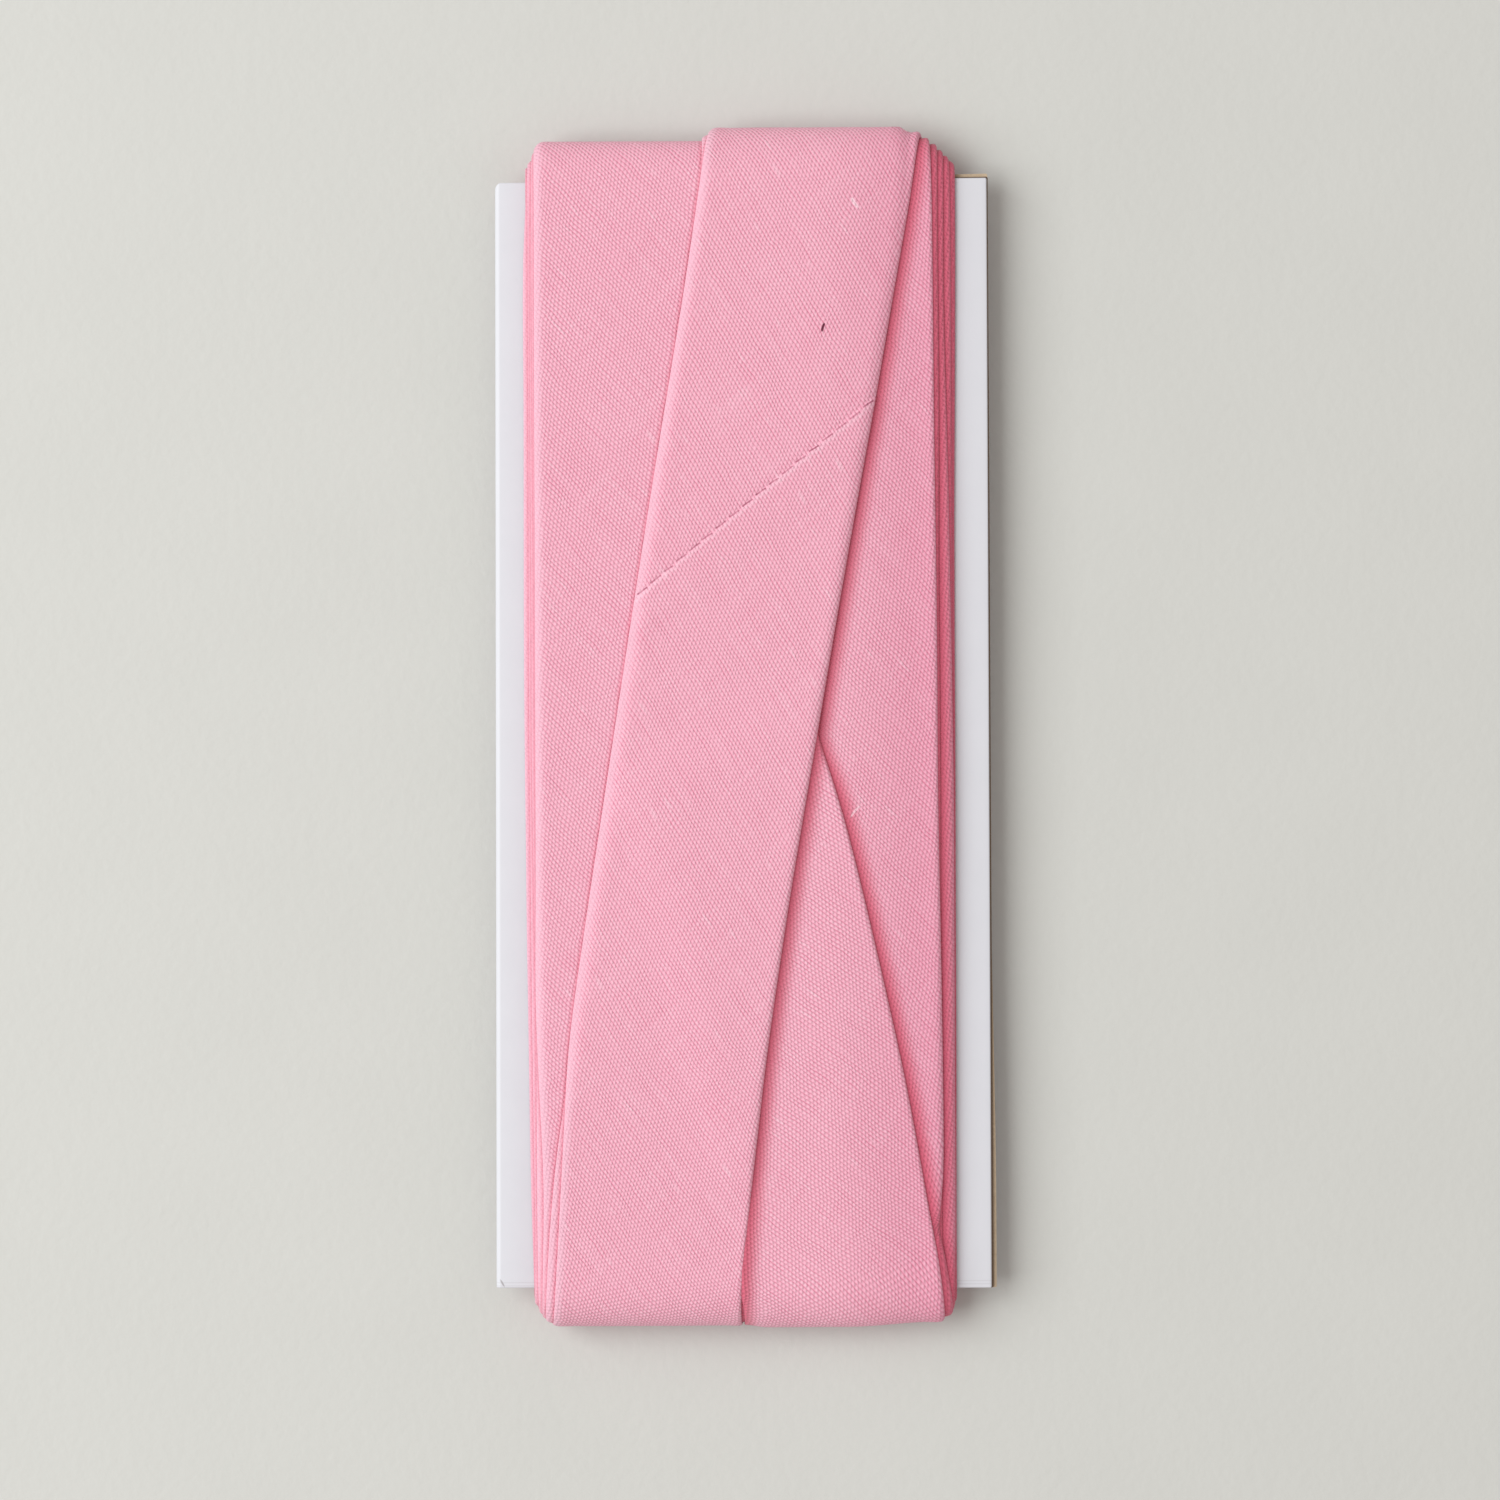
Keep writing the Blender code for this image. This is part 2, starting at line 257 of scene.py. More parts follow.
def soft_line(places, values, softness):
    """A smooth function through values at places along the tape."""
    fine = np.arange(places[0] - LINE_MARGIN, places[-1] + LINE_MARGIN, LINE_STEP)
    line = np.interp(fine, places, values)
    reach = int(BLUR_REACH * softness / LINE_STEP)
    kernel = np.exp(-0.5 * (np.arange(-reach, reach + 1) * LINE_STEP / softness) ** 2)
    padded = np.pad(line, reach, mode="edge")
    smooth = np.convolve(padded, kernel / kernel.sum(), mode="valid")
    return lambda place: np.interp(place, fine, smooth)


STATION_PLACES = unrolled_stations()
TAPE_START = STATION_PLACES[0]
TAPE_END = STATION_PLACES[-1]
centre_at = soft_line(STATION_PLACES, [s.centre for s in STATIONS], CENTRE_SOFTNESS)
width_at = soft_line(STATION_PLACES, [s.width for s in STATIONS], WIDTH_SOFTNESS)
WOBBLE_PLACES = np.arange(TAPE_START - LINE_MARGIN, TAPE_END + LINE_MARGIN, WOBBLE_SPACING)
WOBBLES = rng.normal(0, WOBBLE_SIZE, len(WOBBLE_PLACES))
wobble_at = soft_line(WOBBLE_PLACES, WOBBLES, WOBBLE_SOFTNESS)


def middle_at(place):
    return centre_at(place) + wobble_at(place)


def bend_share(on_loop, tip):
    """1 on the bend that has its tip here and 0 away from it, with soft ends."""
    half = BEND_LENGTH / 2
    return smoothstep(-abs(on_loop - tip), -half - BEND_EASE, -half + BEND_EASE)


def bend_stretch(place):
    """The tape's real length for a unit of the loop, greater on the bends."""
    on_loop = np.mod(place, LOOP)
    return 1 + BEND_STRETCH * (bend_share(on_loop, TOP_TIP) + bend_share(on_loop, BOTTOM_TIP))


def lean_at(place):
    """Cosine and sine of the tape's lean from the card's long direction."""
    sideways = middle_at(place + LEAN_REACH) - middle_at(place - LEAN_REACH)
    slope = sideways / (2 * LEAN_REACH * bend_stretch(place))
    length = np.sqrt(1 + slope ** 2)
    return 1 / length, slope / length


def offset_at(places, across):
    """How far a point lies from the tape's middle line, square to it."""
    cosine, _ = lean_at(places)
    return (across - middle_at(places)) * cosine


def pressed(across):
    return 1 - PRESS * smoothstep(across, PRESS_START, PRESS_END)


def thickness(offset, half_width, across):
    """The tape's full thickness, plumper at its folds."""
    from_edge = np.clip(half_width - abs(offset), 0.0, None)
    puff = 1 + EDGE_PUFF * np.exp(-(from_edge / EDGE_PUFF_REACH) ** 2)
    return LAYER * puff * pressed(across)


def roundness(offset, half_width):
    """Share of the thickness left: 1 on the flat, 0 at the fold's tip."""
    radius = np.where(offset < 0, LEFT_EDGE_RADIUS, RIGHT_EDGE_RADIUS)
    past = np.clip((abs(offset) - (half_width - radius)) / radius, 0.0, 1.0)
    return np.sqrt(1 - past ** EDGE_SQUARENESS)


def section_height(sides, rounded):
    """Share of the thickness at a point of the cross-section; the fold's tip lies low."""
    top = TIP_HEIGHT + (1 - TIP_HEIGHT) * rounded
    under = TIP_HEIGHT * (1 - rounded)
    return np.where(sides >= 0, top, under)


def blurred(values, spread_cells, axis):
    reach = math.ceil(BLUR_REACH * spread_cells)
    steps = range(-reach, reach + 1)
    weights = [math.exp(-0.5 * (step / spread_cells) ** 2) for step in steps]
    total = sum(weight * np.roll(values, step, axis) for weight, step in zip(weights, steps))
    return total / sum(weights)


def widened(heights, pick):
    """The highest or lowest of the heights within the ironed width, across the tape."""
    result = heights
    for shift in range(-IRONED_CELLS, IRONED_CELLS + 1):
        result = pick(result, np.roll(heights, shift, 1))
    return result


def ironed(heights):
    """Heights with narrow grooves bridged and narrow ridges pressed down."""
    bridged = widened(widened(heights, np.maximum), np.minimum)
    return widened(widened(bridged, np.minimum), np.maximum)


def draped(heights):
    """The surface that a taut layer takes when it is laid over these heights."""
    heights = ironed(heights)
    for axis, (cells, fall) in ((1, DRAPE_ACROSS), (0, DRAPE_ALONG)):
        spread = heights
        for shift in range(-cells, cells + 1):
            spread = np.maximum(spread, np.roll(heights, shift, axis) - fall * abs(shift))
        heights = spread
    softened = blurred(heights, BLUR_ACROSS / CELL_ACROSS, 1)
    return blurred(softened, BLUR_ALONG / CELL_ALONG, 0)


def sampled(heights, places, across):
    """Heights read off the map between its cells."""
    row = np.mod(places, LOOP) / LOOP * MAP_ROWS
    column = np.clip((across + MAP_HALF_WIDTH) / CELL_ACROSS, 0, LAST_COLUMN)
    row_start = np.floor(row).astype(int)
    column_start = np.floor(column).astype(int)
    row_share = row - row_start
    column_share = column - column_start
    near, far = (heights[cell % MAP_ROWS, column_start] * (1 - column_share)
                 + heights[cell % MAP_ROWS, column_start + 1] * column_share
                 for cell in (row_start, row_start + 1))
    return near * (1 - row_share) + far * row_share


# A run is one pass of the tape over one face, from bend tip to bend tip
Run = namedtuple("Run", "start end")


def make_runs():
    tips = [TOP_TIP - LOOP, BOTTOM_TIP - LOOP]
    while tips[-1] < TAPE_END:
        tips.append(tips[-2] + LOOP)
    edges = [tip for tip in tips if TAPE_START < tip < TAPE_END]
    edges = [TAPE_START] + edges + [TAPE_END]
    return [Run(start, end) for start, end in zip(edges, edges[1:])]


RUNS = make_runs()
LAST_FRONT_RUN = len(RUNS) - 3
SEAM_PLACE = RUNS[LAST_FRONT_RUN].start + BEND_LENGTH / 2 + loop_place(FRONT, SEAM_ALONG)


def stamped(heights, run, first, second, start, end):
    """The map with this run laid on it, from one place to another."""
    result = heights.copy()
    loops = math.floor(run.start / LOOP)
    for loop in (loops, loops + 1):
        places = ROW_PLACES + loop * LOOP
        rows = (places >= start) & (places < end)
        if not rows.any():
            continue
        along = places[rows][:, None]
        half_width = width_at(along) / 2
        across = np.broadcast_to(COLUMN_PLACES, (rows.sum(), MAP_COLUMNS))
        offset = offset_at(along, across)
        base = np.where(along < (run.start + run.end) / 2, first[rows], second[rows])
        full = thickness(offset, half_width, across)
        top = base + full * section_height(1, roundness(offset, half_width))
        covered = abs(offset) < half_width
        if run.end == TAPE_END:
            covered &= along < TAPE_END + offset * TAIL_CUT_SLOPE
        result[rows] = np.where(covered, np.maximum(top, heights[rows]), heights[rows])
    return result


def row_places(index, run):
    """Places of the rows of points along one run."""
    outer = index >= len(RUNS) - OUTER_TURNS
    step = OUTER_STEP if outer else INNER_STEP
    bend_step = OUTER_BEND_STEP if outer else INNER_BEND_STEP
    bend = BEND_LENGTH / 2
    places = []
    place = run.start
    while place < run.end - bend_step / 2:
        places.append(place)
        near_tip = min(place - run.start, run.end - place) < bend + BEND_MARGIN
        place += bend_step if near_tip else step
    places = np.array(places)
    if index == LAST_FRONT_RUN:
        places = places[abs(places - SEAM_PLACE) > SEAM_LEAN_FULL]
        places = np.sort(np.concatenate([places, SEAM_PLACE + seam_rows()]))
    return places


def seam_rows():
    """Offsets of the rows of points beside the seam, closest at the groove."""
    below = [-offset for offset in SEAM_ROWS[1:]]
    return np.array(sorted([*SEAM_ROWS, *below, *ALLOWANCE_ROWS]))


def leaned(index, places, offsets):
    """Places of points, leaned to the seam on the last turn and to the cut on the tail."""
    if index == LAST_FRONT_RUN:
        away = abs(places - SEAM_PLACE)
        share = 1 - smoothstep(away, SEAM_LEAN_FULL, SEAM_LEAN_END)
        return places + offsets * SEAM_SLOPE * share
    if index == len(RUNS) - 1:
        share = smoothstep(places, TAPE_END - TAIL_CUT_BLEND, TAPE_END)
        return places + offsets * TAIL_CUT_SLOPE * share
    return places + 0 * offsets


def ring_shares():
    """Points round the tape's cross-section: across its top, then back under it.

    Each is its share of the half width, and whether it is on the top, the
    underside or a fold's tip.
    """
    half = TAPE_WIDTH / 2
    middle_points = np.linspace(TOP_MIDDLE_START, half, TOP_MIDDLE_COUNT)
    top_half = [1 - value / half for value in (*TOP_EDGE_POINTS, *middle_points)]
    top = [-value for value in top_half] + top_half[-2::-1]
    under_half = [1 - value / half for value in UNDER_POINTS]
    under = under_half + [0.0] + [-value for value in under_half[::-1]]
    shares = [-1.0] + top + [1.0] + under
    sides = [0] + [1] * len(top) + [0] + [-1] * len(under)
    return np.array(shares), np.array(sides)


RING_SHARES, RING_SIDES = ring_shares()
MIDDLE_POINT = RING_SHARES.size // 4


def seam_relief(index, places, offsets):
    """Height added beside the join seam by its allowance, less the groove at the stitches."""
    if index != LAST_FRONT_RUN:
        return 0 * places
    lean = 1 / math.sqrt(1 + SEAM_SLOPE ** 2)
    distance = (places - SEAM_PLACE - offsets * SEAM_SLOPE) * lean
    rise = smoothstep(distance, *ALLOWANCE_EDGE) * (1 - smoothstep(distance, *SEAM_EDGE))
    groove = np.exp(-(distance / SEAM_GROOVE_WIDTH) ** 2)
    return SEAM_RISE * rise - SEAM_GROOVE * groove


def laps_above(index):
    """Steps, in laps of the loop, from a run to each run that can lie over it."""
    if index == LAST_FRONT_RUN:
        return []
    if index == len(RUNS) - 1:
        return [-1]
    return range(1, len(RUNS) // 2 + 1)


def turn_shade_distance(index, along, across):
    """How far each point is from the nearest turn over it, below zero where covered."""
    nearest = np.full(across.shape, TUCK_FAR)
    for lap in laps_above(index):
        above = along + lap * LOOP
        offset = offset_at(above, across)
        gap = abs(offset) - width_at(above) / 2
        gap = np.where(offset < 0, TUCK_LEFT_START + TUCK_LEFT_SLOPE * gap, gap)
        gap = np.maximum(gap, above - TAPE_END - offset * TAIL_CUT_SLOPE)
        nearest = np.minimum(nearest, gap)
    return nearest


def base_heights(run, first, second, places, along, across):
    """Heights of the surface under a run's points, from one map and then the other."""
    in_first = places < (run.start + run.end) / 2
    return np.where(in_first, sampled(first, along, across), sampled(second, along, across))


def laid_points(index, run, first, second):
    """Places, unrolled places, heights and distance for the painted shade between turns of a run's
    points, a row for each section.
    """
    rows = row_places(index, run)[:, None]
    nominal = RING_SHARES[None, :] * TAPE_WIDTH / 2
    places = leaned(index, rows, nominal)
    half_width = width_at(places) / 2
    offsets = RING_SHARES[None, :] * half_width
    cosine, sine = lean_at(places)
    across = middle_at(places) + offsets * cosine
    along = places - offsets * sine / bend_stretch(places)
    base = base_heights(run, first, second, places, along, across)
    if index == LAST_FRONT_RUN:
        even_first, even_second = blurred(first, EVEN_CELLS, 1), blurred(second, EVEN_CELLS, 1)
        even = base_heights(run, even_first, even_second, places, along, across)
        base += (even - base) * smoothstep(half_width - abs(offsets), EVEN_START, EVEN_FULL)
    full = thickness(offsets, half_width, across)
    heights = base + full * section_height(RING_SIDES[None, :], roundness(offsets, half_width))
    heights += np.where(RING_SIDES[None, :] > 0, seam_relief(index, places, offsets), 0)
    return places, along, across, heights, turn_shade_distance(index, along, across)


def lay_tape():
    """Lay every run in the order in which they cover each other.

    The tail goes under the last turn, so it is laid before it.
    """
    older = np.zeros((MAP_ROWS, MAP_COLUMNS))
    newer = older
    laid = {}
    tail = len(RUNS) - 1
    plain_order = list(range(LAST_FRONT_RUN))
    for index in plain_order + [tail, LAST_FRONT_RUN, LAST_FRONT_RUN + 1]:
        run = RUNS[index]
        first, second = draped(older), draped(newer)
        if index == tail:
            first = second
        if index == LAST_FRONT_RUN + 1:
            second = first
        laid[index] = laid_points(index, run, first, second)
        if index == tail:
            start = run.start + BEND_LENGTH / 2 + loop_place(FRONT, TAIL_START)
            end = run.end + TAIL_CUT_REACH
            older = stamped(older, run, first, second, start, end)
            newer = stamped(newer, run, first, second, start, end)
        else:
            older, newer = newer, stamped(newer, run, first, second, run.start, run.end)
    parts = [laid[index] for index in range(len(RUNS))]
    columns = [np.concatenate(group) for group in zip(*parts)]
    return columns, newer


def end_reach(heights, start, slack, growth):
    return start + slack * np.maximum(heights / SLACK_LAYER, 0) ** growth


def bottom_reach(heights, across):
    """How far the turns pass the card's bottom, with the tail's sag."""
    sag = smoothstep(across, *BOTTOM_SAG_RISE) * (1 - smoothstep(across, *BOTTOM_SAG_FALL))
    return end_reach(heights, BOTTOM_START, BOTTOM_SLACK, BOTTOM_GROWTH) + BOTTOM_SAG * sag


def in_space(along, across, heights, pressing):
    """Turn unrolled places and heights into points round the card, in millimetres."""
    on_loop = np.mod(along, LOOP)
    top_share = np.clip((on_loop - FLAT_LENGTH) / BEND_LENGTH, 0, 1)
    bottom_share = np.clip((on_loop - 2 * FLAT_LENGTH - BEND_LENGTH) / BEND_LENGTH, 0, 1)
    angle = math.pi / 2 - math.pi * top_share + math.pi * bottom_share
    flat = np.where(on_loop < FLAT_LENGTH, CARD_BOTTOM + on_loop,
                    CARD_TOP - (on_loop - FLAT_LENGTH - BEND_LENGTH))
    loose = heights / pressed(across)
    past_top = end_reach(loose, TOP_START, TOP_SLACK, TOP_GROWTH) * np.cos(angle)
    past_bottom = bottom_reach(loose, across) * np.cos(angle)
    on_top = (top_share > 0) & (top_share < 1)
    on_bottom = (bottom_share > 0) & (bottom_share < 1)
    y = np.where(on_bottom, CARD_BOTTOM - past_bottom, flat)
    y = np.where(on_top, CARD_TOP + past_top, y)
    sine = np.sin(angle)
    kept = np.where(sine < 0, sampled(pressing, along, across), 1.0)
    z = MIDDLE_HEIGHT + (INNER_HALF + heights * kept) * sine
    return np.stack([across, y, np.maximum(z, 0.0)], axis=-1)


def unrolled_ring(half_width):
    """Where each ring point lies across the opened strip, from raw edge to raw edge."""
    across = RING_SHARES * half_width
    side = np.where(RING_SHARES >= 0, 1, -1)
    return np.where(RING_SIDES < 0, side * 2 * half_width - across, across)


def new_object(name, data):
    new = bpy.data.objects.new(name, data)
    bpy.context.scene.collection.objects.link(new)
    return new


def new_piece(name, vertices, faces, materials):
    mesh = bpy.data.meshes.new(name)
    mesh.from_pydata(vertices, [], faces)
    mesh.shade_smooth()
    for material in materials:
        mesh.materials.append(material)
    return new_object(name, mesh)


def back_pressing(final_heights):
    """Share of its height that each layer keeps on the back, which lies on the surface."""
    room = MIDDLE_HEIGHT - INNER_HALF
    pressing = np.minimum(1.0, room / np.maximum(final_heights, LEAST_HEIGHT))
    return blurred(blurred(pressing, PRESSING_BLUR, 0), PRESSING_BLUR, 1)


def measured_lengths(points, places):
    """Places along the tape's middle line, and the tape's length up to each."""
    steps = np.linalg.norm(np.diff(points[:, MIDDLE_POINT], axis=0), axis=1)
    return places[:, MIDDLE_POINT], np.concatenate([[0.0], np.cumsum(steps)])


def band_corners(grid):
    """The four corners of each face between neighbouring cross-sections."""
    after = np.roll(grid, -1, axis=1)
    return np.stack([grid[:-1], after[:-1], after[1:], grid[1:]], axis=2)


def band_faces(row_count, ring_count):
    """Faces between the cross-sections, and a cap at each end."""
    index = np.arange(row_count * ring_count).reshape(row_count, ring_count)
    quads = band_corners(index).reshape(-1, 4).tolist()
    return quads + [index[0].tolist()[::-1], index[-1].tolist()]


def tape_map(length_along):
    """Where each face corner lies on the opened strip, across it and along it."""
    ring_across = unrolled_ring(TAPE_WIDTH / 2)
    across = np.broadcast_to(ring_across, length_along.shape)
    corners = band_corners(np.stack([across, length_along], axis=-1)).reshape(-1, 2)
    caps = np.zeros((2 * len(ring_across), 2))
    caps[:, 0] = np.concatenate([ring_across[::-1], ring_across])
    return np.concatenate([corners, caps]).ravel()


def make_tape():
    """The whole tape as one closed band, wound in its real order.

    Also gives a function from a place along the tape to its length there.
    """
    (places, along, across, heights, shade_distance), final_heights = lay_tape()
    points = in_space(along, across, heights, back_pressing(final_heights))
    middle_places, lengths = measured_lengths(points, places)
    past_end = np.maximum(places - middle_places[-1], 0)
    length_along = np.interp(places, middle_places, lengths) + past_end

    vertices = (points * MM).reshape(-1, 3).tolist()
    piece = new_piece("binding_tape", vertices, band_faces(*across.shape), [])
    # Distance to the turns above, which the material turns into painted shade
    attribute = piece.data.attributes.new("shade_distance", "FLOAT", "POINT")
    attribute.data.foreach_set("value", shade_distance.ravel())
    layer = piece.data.uv_layers.new(name="Tape")
    layer.data.foreach_set("uv", tape_map(length_along))
    return piece, lambda place: float(np.interp(place, middle_places, lengths))


# A noise's scale, detail and roughness
Grain = namedtuple("Grain", "scale detail roughness", defaults=(2.0, 0.5))


class Nodes:
    """Shorthand for building a material's node tree."""

    def __init__(self, name):
        self.material = bpy.data.materials.new(name)
        self.material.use_nodes = True
        self.tree = self.material.node_tree
        self.shader = self.tree.nodes["Principled BSDF"]

    def link(self, value, socket):
        """Set a socket to a number, or join it to another node's output."""
        if isinstance(value, bpy.types.NodeSocket):
            self.tree.links.new(value, socket)
        else:
            socket.default_value = value

    def math(self, operation, first, second=0.0, third=0.0):
        node = self.tree.nodes.new("ShaderNodeMath")
        node.operation = operation
        for value, socket in zip((first, second, third), node.inputs):
            self.link(value, socket)
        return node.outputs[0]

    def mix(self, share, first, second):
        node = self.tree.nodes.new("ShaderNodeMix")
        node.data_type = "RGBA"
        self.link(share, node.inputs["Factor"])
        self.link(first, node.inputs["A"])
        self.link(second, node.inputs["B"])
        return node.outputs["Result"]

    def multiply(self, share, first, second):
        result = self.mix(share, first, second)
        result.node.blend_type = "MULTIPLY"
        return result

    def ramp(self, value, start, end, low=0.0, high=1.0):
        node = self.tree.nodes.new("ShaderNodeMapRange")
        node.interpolation_type = "SMOOTHSTEP"
        for name, number in (("Value", value), ("From Min", start), ("From Max", end),
                             ("To Min", low), ("To Max", high)):
            self.link(number, node.inputs[name])
        return node.outputs["Result"]

    def noise(self, vector, grain):
        node = self.tree.nodes.new("ShaderNodeTexNoise")
        self.link(vector, node.inputs["Vector"])
        for name, value in zip(("Scale", "Detail", "Roughness"), grain):
            node.inputs[name].default_value = value
        return node.outputs["Fac"]

    def vector(self, x, y):
        node = self.tree.nodes.new("ShaderNodeCombineXYZ")
        for value, socket in zip((x, y), node.inputs):
            self.link(value, socket)
        return node.outputs[0]

    def attribute(self, name):
        node = self.tree.nodes.new("ShaderNodeAttribute")
        node.attribute_name = name
        return node.outputs["Fac"]

    def map_coordinates(self, name):
        """Across and along values of a named surface map."""
        node = self.tree.nodes.new("ShaderNodeUVMap")
        node.uv_map = name
        parts = self.tree.nodes.new("ShaderNodeSeparateXYZ")
        self.tree.links.new(node.outputs[0], parts.inputs[0])
        return parts.outputs[0], parts.outputs[1]

    def object_coordinates(self):
        return self.tree.nodes.new("ShaderNodeTexCoord").outputs["Object"]

    def card_coordinates(self):
        """Places across the card and up it, in millimetres."""
        parts = self.tree.nodes.new("ShaderNodeSeparateXYZ")
        self.link(self.object_coordinates(), parts.inputs[0])
        return [self.math("DIVIDE", part, MM) for part in parts.outputs[:2]]

    def turned(self, across, along, degrees):
        """Places along and off a line through zero that is turned by an angle."""
        cosine, sine = math.cos(math.radians(degrees)), math.sin(math.radians(degrees))
        on_line = self.math("MULTIPLY_ADD", across, sine, self.math("MULTIPLY", along, cosine))
        off_line = self.math("MULTIPLY_ADD", across, cosine, self.math("MULTIPLY", along, -sine))
        return on_line, off_line

    def soft_spot(self, on_line, off_line, half_length, half_width, power, spread):
        """Mask of a long spot, 1 at its middle and 0 outside; its power squares its ends."""
        along = self.math("DIVIDE", self.math("ABSOLUTE", on_line), half_length)
        aside = self.math("DIVIDE", self.math("ABSOLUTE", off_line), half_width)
        total = self.math("ADD", self.math("POWER", along, power), self.math("POWER", aside, 2.0))
        return self.falling(total, *spread)

    def falling(self, value, start, end):
        """1 below the start, 0 above the end."""
        return self.ramp(value, start, end, 1.0, 0.0)

    def tint(self, colour, tint, mask, strength):
        """The colour, turned towards a tint where the mask is 1."""
        return self.mix(self.math("MULTIPLY", mask, strength), colour, tint)

    def bump(self, height, strength, distance, below=None):
        node = self.tree.nodes.new("ShaderNodeBump")
        node.inputs["Strength"].default_value = strength
        node.inputs["Distance"].default_value = distance
        self.link(height, node.inputs["Height"])
        if below is not None:
            self.link(below, node.inputs["Normal"])
        return node.outputs[0]

    def finish(self, colour, normal, roughness, sheen=0.0):
        self.link(colour, self.shader.inputs["Base Color"])
        self.link(normal, self.shader.inputs["Normal"])
        self.shader.inputs["Roughness"].default_value = roughness
        self.shader.inputs["Sheen Weight"].default_value = sheen
        return self.material


# The weave's two sets of threads, as directions on the opened tape (across,
# along), with the spacing of each in millimetres
THICK_THREADS = (0.7393, 0.6733, 0.3463)
THIN_THREADS = (0.7592, -0.6508, 0.2311)

# The weave's relief in metres, and what its ribs, crossings and threads add to it
THREAD_HEIGHT = 0.00006
RIB_SHARE = 0.75
RIB_POWER = 0.8
CROSSING_SHARE = 0.55
THREAD_SHARE = 0.05

# Unevenness of the cloth: each noise, how far it is drawn out along a thread,
# and how much it counts
DRIFT_GRAIN, DRIFT = Grain(0.35), 0.65
UNEVEN_GRAIN, UNEVEN_DRAWN, UNEVEN = Grain(1.7), 0.02, 1.5
UNEVEN_HEIGHT = 0.5
FIBRE_GRAIN, FIBRE = Grain(5.0, 3.0, 0.6), 0.80
SLUB_GRAIN, SLUB_DRAWN = Grain(0.8, 0.0), 0.10
SLUB_RANGE = (0.76, 0.84)
SLUB_HEIGHT, SLUB_PALENESS = 0.3, 0.5

# The cloth's colours, and the ranges of tone or place over which they change
CLOTH_COLOUR = (0.870, 0.430, 0.555, 1.0)
# The pore colour is painted shade in the grooves between threads
CLOTH_PORE_SHADE = (0.715, 0.180, 0.300, 1.0)
# The pale colour is a painted highlight on the thread tops and the seam's ridge, and the paler
# tone of slubs
CLOTH_PALE = (0.935, 0.600, 0.710, 1.0)
# Painted highlight along the left fold of each turn, the side that faces the light
CLOTH_FOLD_HIGHLIGHT = (0.810, 0.465, 0.580, 1.0)
# Painted shade, deep rose as from light bounced between the turns, near the edge of a turn above
CLOTH_SHADE_BETWEEN_TURNS = (0.700, 0.140, 0.220, 1.0)
# Painted shade in the seam's groove between the stitches
CLOTH_SEAM_SHADE = (0.400, 0.105, 0.175, 1.0)
# Painted shade, multiplied in towards the card's right side
CLOTH_RIGHT_SHADE = (0.940, 0.820, 0.870, 1.0)
PORE_TONE = (-0.30, 0.75)
PALE_TONE = (0.75, 1.60)
FOLD_LEFT = -TAPE_WIDTH / 2
FOLD_RISE = (FOLD_LEFT - 0.9, FOLD_LEFT)
FOLD_FALL = (FOLD_LEFT + 0.3, FOLD_LEFT + 1.1)
FOLD_HIGHLIGHT_STRENGTH = 0.8
TURN_SHADE_RANGE = (0.1, 2.0)
RIGHT_SHADE_RANGE = (7.0, 20.0)
CLOTH_ROUGHNESS, CLOTH_SHEEN = 0.85, 0.15

# The join's dashes of painted shade in its groove between the stitches, and
# the painted highlight on the ridge below, in millimetres, and how unevenly they lie
STITCH_PITCH = 1.7
STITCH_WIDTH_RANGE = (0.045, 0.1125)
STITCH_GAP_RANGE = (0.332, 0.388)
STITCH_GRAIN, STITCH_WAVE = Grain(0.45), 0.30
STITCH_SLANT = 0.14
SEAM_SHADE_STRENGTH = 0.90
PULL_LINE, PULL_GRAIN = 3.0, Grain(0.9, 1.0)
PULL_RANGE = (0.38, 0.60)
LEAST_PULL = 0.60
RIDGE_ASIDE, RIDGE_HALF_WIDTH, RIDGE_HIGHLIGHT_STRENGTH = 0.30, 0.28, 0.45

# A fleck: its lap before the last turn, height up the card, place across the
# tape, turn in degrees, half length and width, strength and colour
Fleck = namedtuple("Fleck", "lap up across turn half_length half_width strength colour")
DARK_FIBRE = (0.150, 0.020, 0.050, 1.0)
PALE_FIBRE = (0.960, 0.740, 0.820, 1.0)
FLECKS = [
    Fleck(0, 40.0, 3.85, 8, 0.46, 0.13, 1.00, DARK_FIBRE),
    Fleck(0, 52.4, 4.90, -42, 0.62, 0.16, 0.65, PALE_FIBRE),
    Fleck(-4, -8.4, 1.85, 41, 0.80, 0.12, 0.50, PALE_FIBRE),
]
FLECK_BEND = -0.15
FLECK_RANGE = (0.4, 1.4)


def thread_wave(nodes, across, along, threads):
    """A wave that is at its top on each thread of one set, and the thread's number."""
    across_share, along_share, spacing = threads
    place = nodes.math("MULTIPLY", across, across_share / spacing)
    place = nodes.math("MULTIPLY_ADD", along, along_share / spacing, place)
    return nodes.math("SINE", nodes.math("MULTIPLY", place, math.pi)), place


def centred(nodes, value, size):
    """A noise value moved to lie about zero, and scaled."""
    return nodes.math("MULTIPLY", nodes.math("SUBTRACT", value, 0.5), size)


